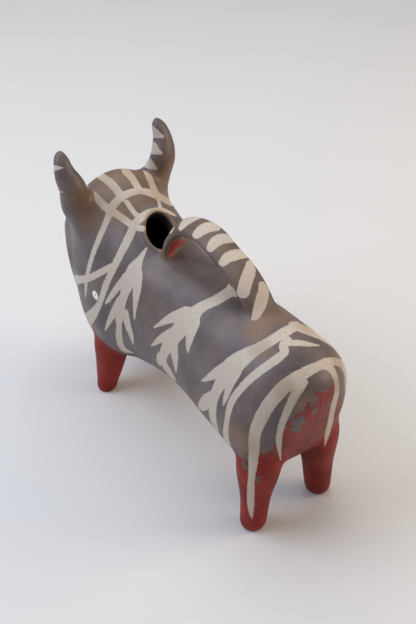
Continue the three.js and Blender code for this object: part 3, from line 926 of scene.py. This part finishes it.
# How far inside the nearest stroke each point lies, negative outside. The last column of a line is
# its half width; the others are places in the picture or on the clay.
def insideStrokes(points, lines, far=3.0):
    made = np.full(len(points), -far, np.float32)
    for line in lines:
        marks = line[:, :-1]
        low, high = marks.min(0) - line[:, -1].max() - far, marks.max(0) + line[:, -1].max() + far
        near = np.nonzero(np.all((points > low) & (points < high), axis=1))[0]
        if len(near) == 0:
            continue
        spots = points[near].astype(np.float32)
        best = made[near]
        for start, end in zip(line[:-1].astype(np.float32), line[1:].astype(np.float32)):
            step = end[:-1] - start[:-1]
            t = np.clip((spots - start[:-1]) @ step / max(float(step @ step), 1e-6), 0, 1)
            apart = np.linalg.norm(spots - start[:-1] - t[:, None] * step, axis=1)
            best = np.maximum(best, start[-1] + (end[-1] - start[-1]) * t - apart)
        made[near] = best
    return made


# A stroke as a line in the picture, in pixels, from one of its marks on
def drawn(stroke, first=0):
    return evenMarks(stroke[first:], 3.0) * (1, 1, 0.5)


def inPicture(points):
    wide, tall = view["picture"]
    across, up, away = ((points - lensPlace) @ lensTurn).T
    spots = np.stack([wide / 2 - view["focal"] * across / away, tall / 2 + view["focal"] * up / away], -1)
    return spots, -away / view["focal"]


# How far inside the nearest wedge each place in the picture lies, in pixels, negative outside
def insideWedges(spots, wedges):
    made = np.full(len(spots), -5.0)
    for wedge in wedges:
        corners = np.array(wedge, float)
        steps = np.roll(corners, -1, axis=0) - corners
        steps /= np.linalg.norm(steps, axis=1)[:, None]
        away = spots[None] - corners[:, None]
        made = np.maximum(made, (steps[:, None, 0] * away[..., 1] - steps[:, None, 1] * away[..., 0]).min(0))
    return made


bodyLines = {name: laid(stroke) for name, stroke in strokes.items()}
barLines = {name: laid(stroke) for name, stroke in handleBars.items()}
print("strokes laid")

hiddenStrokes = {  # down the face, which the picture hides: y, degrees from the top, half width
    "foreheadLeft": [(-64, 15, 3.1), (-73, 18, 3.0), (-80, 26, 2.2), (-84, 36, 0.6)],
    "foreheadMiddle": [(-58, -8, 3.1), (-68, -5, 3.0), (-78, -2, 2.6), (-84, 0, 0.7)],
    "foreheadRight": [(-60, -40, 2.4), (-70, -37, 2.8), (-79, -33, 2.2), (-84, -36, 0.6)],
    "browLeft": [(-68, 30, 2.0), (-74, 40, 2.2), (-79, 52, 1.4), (-81, 62, 0.5)],
    "browRight": [(-66, -58, 1.0), (-73, -52, 2.2), (-79, -56, 1.6), (-82, -66, 0.5)],
}
farSide = {  # strokes that the right flank repeats where the picture hides it: first mark, shift back
    "cheekTail": (2, 0), "shoulderTail": (1, 0), "cheekBand": (1, 1),
    "shoulderStem": (1, -1), "shoulderLeaf1": (0, -1), "shoulderLeaf2": (0, -1),
    "shoulderLeaf3": (0, -1), "shoulderLeaf4": (0, -1),
    "flankStem": (1, 1), "flankLeaf1": (0, 1), "flankLeaf2": (0, 1), "flankLeaf3": (0, 1),
    "flankLeaf4": (0, 1), "flankBud": (0, 1),
    "haunchStem": (2, 3), "haunchLeaf1": (0, 3), "haunchLeaf2": (0, 3), "haunchBud": (0, 3),
    "haunchStripe": (4, 3), "rumpStripe": (6, 9),
}
for name, stroke in hiddenStrokes.items():
    rows = np.array(stroke, float)
    t = np.linspace(0, 1, 14)
    rows = pathThrough(rows * (1, 0.5, 1), t) / (1, 0.5, 1)
    places = trunkPoint(rows[:, 0], np.radians(rows[:, 1]))
    bodyLines[name] = np.column_stack([places, rows[:, 2]])
drawnStrokes = {name: drawn(stroke) for name, stroke in strokes.items() if not name.startswith("horn")}
drawnBars = {name: drawn(stroke) for name, stroke in handleBars.items()}


grazing = 0.12  # how squarely clay faces the lens where the picture's brushwork holds in full


# Cream on the side that the picture shows, and how far that side holds
def shownCream(points, normals, lines, wedges):
    spots, scale = inPicture(points)
    inside = np.maximum(insideStrokes(spots, lines.values(), 5.0), insideWedges(spots, wedges)) * scale
    toLens = lensPlace - points
    toLens /= np.linalg.norm(toLens, axis=1)[:, None]
    facing = np.einsum("ij,ij->i", normals, toLens)
    shown = np.clip(facing / grazing, 0, 1)
    for n in np.nonzero((inside > -1.2) & (shown > 0))[0]:
        start = Vector(points[n] + normals[n] * 0.8)
        if clayTree.ray_cast(start, Vector(toLens[n]), 300)[0] is not None:
            shown[n] = 0
    return inside, shown


def farCream(points, normals):
    made = np.full(len(points), -3.0)
    mirror = np.array((-1, 1, 1))
    far = np.nonzero(points[:, 0] < -2)[0]
    for shift in sorted({given[1] for given in farSide.values()}):
        lines = [drawn(strokes[name], given[0]) for name, given in farSide.items() if given[1] == shift]
        spots, scale = inPicture(points[far] * mirror + (0, shift, 0))
        toLens = lensPlace - points[far] * mirror
        facing = np.einsum("ij,ij->i", normals[far] * mirror, toLens) > 0
        made[far] = np.maximum(made[far], np.where(facing, insideStrokes(spots, lines, 5.0) * scale, -3))
    return made


redSlip = {  # where the red of the legs ends on the body: degrees round the end, height
    "rumpMiddle": 62.0,
    "rump": [
        (-100, 30), (-85, 38), (-62, 48), (-40, 60), (-30, 68), (-22, 74), (-15, 82), (-9.7, 86.5),
        (-3, 86), (3, 88), (8.5, 85), (13.6, 81.4), (16.3, 78.5), (26, 74.5), (35.5, 59),
        (43.8, 55.7), (53, 46.5), (62, 47), (80, 40), (100, 30),
    ],
    "chestMiddle": -45.0,
    "chest": [
        (-117, 34), (-101, 37.5), (-91, 41), (-89, 46), (-78, 48), (-60, 50), (-35, 55), (0, 58),
        (35, 55), (60, 50), (78, 48), (89, 46), (91, 41), (101, 37.5), (117, 34),
    ],
    "collar": 36.0,  # height of the red round each leg
    "collarReach": 15.0,  # from the middle of a leg
    "legTop": 26.0,  # a leg is red all round below this height
}
slipSpots = [  # where the red is worn through: place in the picture, radius in mm
    (298, 423, 3.5), (296, 428, 2.5), (269, 440, 5.0), (266, 449, 3.0), (274, 431, 4.5),
    (257, 479, 1.0), (256.5, 487, 0.8), (330, 406, 1.6), (338, 398, 3.2), (322, 384, 4.5),
    (312, 400, 3.0), (244, 464, 1.6), (249, 466, 1.2), (340, 407, 1.8), (315, 410, 1.6),
]
browningAndShadeSpots = [  # browner patches, partly the clay's own tone and partly painted shade where the head's top faces away from the light: place in the picture, size in pixels
    (88, 205, 15), (94, 222, 9), (170, 165, 12), (165, 190, 12), (105, 180, 14), (125, 176, 14),
    (145, 178, 14), (160, 196, 12), (142, 198, 9), (240, 440, 16), (262, 322, 9), (303, 402, 8),
    (283, 318, 12), (232, 455, 10), (320, 335, 14), (305, 328, 10), (338, 362, 9), (222, 222, 5),
]
chipMarks = [(95.2, 295.2, 1.5)]  # the ring of a chip, with its radius in mm
hookRed = [(172, 254.5, 6), (174, 247, 8), (179, 243, 7), (185, 241, 5), (190, 242, 3)]  # under the handle
hookFacing = 0.25  # how far rearwards clay must face to take that red
bareDepth = 0.7  # mm below the outside where bare clay starts
slipDepth = 0.9  # and down to where slip may lie


def onClay(marks):
    placed = [(spotOnClay(u, v), size) for u, v, size in marks]
    return [mark for mark in placed if mark[0] is not None]


def waterline(points, middle, edge, forward):
    x, y = points[:, 0], (points[:, 1] - middle) * forward
    angle = np.degrees(np.arctan2(x, y))
    turns, heights = np.array(edge, float).T
    return np.interp(angle, turns, heights, left=-40, right=-40) - points[:, 2]


def redAt(points):
    rump = waterline(points, redSlip["rumpMiddle"], redSlip["rump"], 1)
    chest = waterline(points, redSlip["chestMiddle"], redSlip["chest"], -1)
    made = np.maximum(rump, chest)
    for end in ("front", "rear"):
        leg = legClay[end]
        for sign in (1, -1):
            middle = sign * (leg["x"] - leg["lean"] * points[:, 2])
            apart = np.hypot(points[:, 0] - middle, points[:, 1] - leg["y"])
            collar = np.minimum(redSlip["collar"] - points[:, 2], redSlip["collarReach"] - apart)
            made = np.maximum(made, collar)
    for spot, radius in onClay(slipSpots):
        made = np.minimum(made, np.linalg.norm(points - spot, axis=1) - radius)
    return made


# Browner patches as a share: partly the clay's own brown, partly painted shade, strongest on the head's top
def browningAndShadeAt(points):
    radial, out = fromMouth(*points.T)
    made = np.clip(1.2 - np.abs(radial - 0.8) / 1.3, 0, 1) * (np.abs(out) < 4)  # a browner band round the bore's edge
    for place, pixels in onClay(browningAndShadeSpots):
        for side in (1, -1):
            apart = np.linalg.norm(points - place * (side, 1, 1), axis=1)
            made = np.maximum(made, np.clip(1.15 - apart / (pixels * 0.8), 0, 1))
    return made * made * (3 - 2 * made)


def sampledAt(block, values, points):
    place = points / block.voxel - block.start
    low = np.clip(np.floor(place).astype(int), 0, np.array(values.shape) - 2)
    f = place - low
    made = 0
    for corner in range(8):
        step = np.array([corner & 1, corner >> 1 & 1, corner >> 2 & 1])
        share = np.prod(np.where(step, f, 1 - f), axis=1)
        i, j, k = (low + step).T
        made = made + share * values[i, j, k]
    return made


def intoMouth(points):
    radial, out = fromMouth(*points.T)
    return np.where(radial < 0.7, -out + 0.2, -5)


# Outward directions of the joined clay, so that neighbouring pieces shade as one surface
def clayNormals(points):
    made = []
    for step in np.eye(3) * 0.6:
        made.append(sampledAt(wholeBlock, clay, points + step) - sampledAt(wholeBlock, clay, points - step))
    made = np.stack(made, -1)
    return made / np.maximum(np.linalg.norm(made, axis=1), 1e-6)[:, None]


def shareNormals(mesh, depth, normals):
    owners = valuesOf(mesh.loops, "vertex_index", np.int32)
    totals = valuesOf(mesh.polygons, "loop_total", np.int32)
    faces = np.repeat(valuesOf(mesh.polygons, "normal", wide=3), totals, axis=0)
    shared = normals[owners]
    agree = np.einsum("ij,ij->i", faces, shared) > 0.8
    shared[~(agree & (np.abs(depth[owners]) < 0.2))] = 0
    mesh.normals_split_custom_set(shared.tolist())


def paint(mesh, name):
    points = pointsOf(mesh).astype(float)
    normals = clayNormals(points)
    depth = -sampledAt(wholeBlock, clay, points)
    bare = np.maximum(depth - bareDepth, intoMouth(points))
    outer = depth < slipDepth
    lines, shown, wedges = bodyLines, drawnStrokes, flankWedges
    if name == "handle":
        lines, shown, wedges = barLines, drawnBars, []
    elif "horn" in name:
        shown, wedges = {}, hornWedges
    inside, share = shownCream(points, normals, shown, wedges)
    cream = insideStrokes(points, lines.values())
    if name != "handle":
        cream = np.maximum(cream, farCream(points, normals))
    cream = cream + (inside - cream) * share
    if name == "handle":
        red = insideStrokes(inPicture(points)[0], [drawn(hookRed)]) * 2.0
        red = np.where((points[:, 1] < loinY) & (normals[:, 1] > hookFacing), red, -3)
    else:
        red = redAt(points)
        if "leg" in name:
            red = np.maximum(red, redSlip["legTop"] - points[:, 2])
    chip = np.full(len(points), -3.0)
    for spot, radius in onClay(chipMarks):
        chip = np.maximum(chip, 1.0 - np.abs(np.linalg.norm(points - spot, axis=1) - radius))
    values = {
        "cream": np.where(outer, cream, -3),
        "red": np.clip(np.where(outer, red, -6), -6, 6),
        "bare": np.clip(bare, -3, 6),
        "warm": browningAndShadeAt(points),
        "chip": chip,
    }
    for key, value in values.items():
        mesh.attributes.new(key, "FLOAT", "POINT").data.foreach_set("value", value.astype(np.float32))
    shareNormals(mesh, depth, normals)


def linear(colour):
    parts = [int(colour[n : n + 2], 16) / 255 for n in (0, 2, 4)]
    return (*(c / 12.92 if c <= 0.04045 else ((c + 0.055) / 1.055) ** 2.4 for c in parts), 1.0)


# Slips brushed on and rubbed with a smooth stone before firing: satin, with a grain of fine grit
slips = {
    "burnishedGreyBrownSlip": {  # rubbed longest: a cool sheen over soft clouds of brown
        "slot": "grey_brown_slip", "ground": "6a5c58", "dark": "54494a", "warm": "785f4a",
        "rough": 0.44, "gloss": 0.5,
    },
    "burnishedWarmBrownSlip": {  # the handle's: browner, with a weaker sheen
        "slot": "warm_brown_slip", "ground": "6b5b52", "dark": "54463f", "warm": "785f4a",
        "rough": 0.46, "gloss": 0.42,
    },
    "burnishedRedSlip": {  # red earth over the grey: deep and nearly matt
        "slot": "red_slip", "ground": "6a5c58", "dark": "54494a", "warm": "785f4a",
        "rough": 0.5, "gloss": 0.3,
    },
    "brushedCreamSlip": {  # white earth on the eyes: chalky, streaked by the brush
        "slot": "cream_slip", "ground": "c3b69c", "dark": "a99c86", "warm": "b8a88c",
        "rough": 0.5, "gloss": 0.3,
    },
}
slipColours = {
    "red": "8c261a", "redDark": "6a1810", "cream": "c5b8a8", "creamThin": "ab9f93",
    # the browner cream stands partly for painted shade on the head's top and partly for the cream's own
    # browner tone
    "creamWarm": "a8957b", "clay": "241e1c", "chip": "ebe4dc",
}
grains = {  # size in mm, detail, roughness
    "mottle": (14.0, 3.0, 0.55), "cloud": (34.0, 2.0, 0.55), "grit": (0.7, 2.0, 0.55),
    "brush": (0.9, 3.0, 0.6), "edge": (1.5, 4.0, 0.65), "drip": (3.4, 4.0, 0.6), "wear": (8.0, 5.0, 0.7),
}
fades = {  # what is read, from, to, and what it gives at both ends
    "groundShare": ("mottle", 0.3, 0.75, 0.0, 1.0),
    "warmBreak": ("drip", 0.1, 0.7, 0.55, 1.0),
    "warmCloud": ("cloud", 0.5, 0.85, 0.0, 0.6),
    "redWander": ("drip", 0.25, 0.75, -2.2, 2.2),
    "redRagged": ("edge", 0.25, 0.75, -0.9, 0.9),
    "creamRagged": ("edge", 0.25, 0.75, -0.16, 0.16),
    "creamWorn": ("wear", 0.55, 0.8, 0.0, 0.55),
    "thinShare": ("brush", 0.35, 0.8, 0.0, 0.45),
    # the cream turns browner and darker under the warm patches, partly as painted shade
    "creamShadeAndBrowning": ("warm", 0.0, 1.0, 0.0, 0.62),
    "cover": ("brush", 0.3, 0.85, 1.0, 0.86),
    "speck": ("grit", 0.62, 0.8, 0.0, 0.4),
}


def slipMaterial(name):
    given = slips[name]
    made = bpy.data.materials.new(name)
    made.use_nodes = True
    tree = made.node_tree
    tree.nodes.clear()
    place = addNode(tree, "ShaderNodeTexCoord").outputs["Object"]
    read = {}
    for key in ("cream", "red", "bare", "warm", "chip"):
        read[key] = addNode(tree, "ShaderNodeAttribute", attribute_name=key).outputs["Fac"]
    for key, (size, detail, rough) in grains.items():
        settings = {"Vector": place, "Scale": 1000 / size, "Detail": detail, "Roughness": rough}
        read[key] = addNode(tree, "ShaderNodeTexNoise", settings).outputs["Fac"]
    rows = dict(fades)
    rows["polish"] = ("mottle", 0.25, 0.75, given["rough"] - 0.05, given["rough"] + 0.07)
    rows["bareShare"] = ("bare", -0.6, 1.0, 0.0, 1.0)
    rows["bareRough"] = ("bare", -0.6, 1.0, 0.0, 0.35)
    rows["chipShare"] = ("chip", -0.15, 0.15, 0.0, 1.0)
    for key, (source, low, high, start, end) in rows.items():
        settings = {"Value": read[source], "From Min": low, "From Max": high, "To Min": start, "To Max": end}
        read[key] = addNode(tree, "ShaderNodeMapRange", settings, interpolation_type="SMOOTHSTEP").outputs[0]
    sums = (
        ("warmBroken", "MULTIPLY", "warm", "warmBreak"),
        ("warmShare", "MAXIMUM", "warmBroken", "warmCloud"),
        ("redPlace", "ADD", "red", "redWander"),
        ("redEdge", "ADD", "redPlace", "redRagged"),
        ("creamEdge", "ADD", "cream", "creamRagged"),
    )
    for key, operation, a, b in sums:
        read[key] = addNode(tree, "ShaderNodeMath", {0: read[a], 1: read[b]}, operation=operation).outputs[0]
    for key, source, low, high in (
        ("redShare", "redEdge", -0.3, 0.3),
        ("creamShare", "creamEdge", -0.22, 0.22),
    ):
        settings = {"Value": read[source], "From Min": low, "From Max": high}
        read[key] = addNode(tree, "ShaderNodeMapRange", settings, interpolation_type="SMOOTHSTEP").outputs[0]
    for key, operation, a, b in (
        ("brushed", "MULTIPLY", "creamShare", "cover"),
        # cream thins where wear noise meets the warm patches, partly as painted shade
        ("wearAndShade", "MULTIPLY", "creamWorn", "warmShare"),
        ("gone", "MULTIPLY", "wearAndShade", "brushed"),
        ("laid", "SUBTRACT", "brushed", "gone"),
    ):
        read[key] = addNode(tree, "ShaderNodeMath", {0: read[a], 1: read[b]}, operation=operation).outputs[0]
    tones = slipColours | {key: given[key] for key in ("ground", "dark", "warm")}
    for key, colour in tones.items():
        read[key + "Tone"] = linear(colour)
    layers = (
        ("base", "groundShare", "groundTone", "darkTone"),
        # the warm patches brown the ground and the cream, partly as painted shade
        ("warmed", "warmShare", "base", "warmTone"),
        ("reds", "groundShare", "redTone", "redDarkTone"),
        ("dipped", "redShare", "warmed", "reds"),
        ("fresh", "thinShare", "creamTone", "creamThinTone"),
        ("creams", "creamShadeAndBrowning", "fresh", "creamWarmTone"),
        ("painted", "laid", "dipped", "creams"),
        ("chipped", "chipShare", "painted", "chipTone"),
        ("inner", "bareShare", "chipped", "clayTone"),
        ("colour", "speck", "inner", "darkTone"),
    )
    for key, share, a, b in layers:
        settings = {0: read[share], 6: read[a], 7: read[b]}
        read[key] = addNode(tree, "ShaderNodeMix", settings, data_type="RGBA").outputs[2]
    heights = (
        ("satin", "MULTIPLY_ADD", "laid", 0.14, "polish"),
        ("rough", "ADD", "satin", "bareRough", 0.0),
        ("fine", "MULTIPLY", "grit", 0.25, 0.0),
        ("bristle", "MULTIPLY_ADD", "brush", 0.3, "fine"),
        ("relief", "MULTIPLY_ADD", "laid", 0.5, "bristle"),
    )
    for key, operation, a, b, c in heights:
        settings = {0: read[a], 1: read.get(b, b), 2: read.get(c, c)}
        read[key] = addNode(tree, "ShaderNodeMath", settings, operation=operation).outputs[0]
    bump = addNode(tree, "ShaderNodeBump", {"Strength": 0.5, "Distance": 0.00012, "Height": read["relief"]})
    settings = {"Base Color": read["colour"], "Roughness": read["rough"], "Normal": bump.outputs[0]}
    settings.update({"IOR": 1.45, "Specular IOR Level": given["gloss"]})
    shader = addNode(tree, "ShaderNodeBsdfPrincipled", settings)
    addNode(tree, "ShaderNodeOutputMaterial", {"Surface": shader.outputs[0]})
    return made


slipMaterials = {name: slipMaterial(name) for name in slips}


def slipFor(name):
    if "leg" in name:
        return "burnishedRedSlip"
    if "eye" in name:
        return "brushedCreamSlip"
    return "burnishedWarmBrownSlip" if name == "handle" else "burnishedGreyBrownSlip"


for name, mesh in pieces.items():
    smoothShaded(mesh)
    paint(mesh, name)
    mesh.materials.clear()
    mesh.materials.append(slipMaterials[slipFor(name)])
    made = pieceFrom(name.replace("_", " ").title().replace(" ", "") + "Clay", mesh)
    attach(made, "root")
    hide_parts(name)
    print(name, len(trianglesOf(mesh)), "triangles")


studio = {
    "floor": "d8d7d5",
    "floorHalf": 3000,
    "world": "e2e4e8",
    "worldLevel": 0.42,
    "lamps": {  # place in mm, size, watts, colour
        "coolWindow": ((520, -330, 620), 700, 4.5, "dfe9ff"),
        "warmFill": ((-620, 420, 420), 500, 3.0, "ffe4c6"),
        "topSoft": ((-100, -300, 900), 900, 4.0, "ffffff"),
    },
}


def makeStudio():
    half = studio["floorHalf"]
    corners = [(-half, -half, 0), (half, -half, 0), (half, half, 0), (-half, half, 0)]
    mesh = meshFrom("tableTop", corners, [(0, 1, 2, 3)])
    paper = bpy.data.materials.new("palePaper")  # matt, so that it keeps only the soft shadow
    paper.use_nodes = True
    shader = paper.node_tree.nodes["Principled BSDF"]
    shader.inputs["Base Color"].default_value = linear(studio["floor"])
    shader.inputs["Roughness"].default_value = 0.9
    mesh.materials.append(paper)
    pieceFrom("tableTop", mesh)
    world = bpy.data.worlds.new("softRoom")
    world.use_nodes = True
    world.node_tree.nodes["Background"].inputs["Color"].default_value = linear(studio["world"])
    world.node_tree.nodes["Background"].inputs["Strength"].default_value = studio["worldLevel"]
    bpy.context.scene.world = world
    for name, (place, size, watts, colour) in studio["lamps"].items():
        lamp = bpy.data.lights.new(name, "AREA")
        lamp.shape, lamp.size, lamp.energy, lamp.color = "DISK", size * 0.001, watts, linear(colour)[:3]
        made = pieceFrom(name, lamp)
        made.location = Vector(place) * 0.001
        made.rotation_euler = (Vector((0, 0, 0.06)) - made.location).to_track_quat("-Z", "Y").to_euler()


makeStudio()
bpy.context.scene.view_settings.view_transform = "Standard"
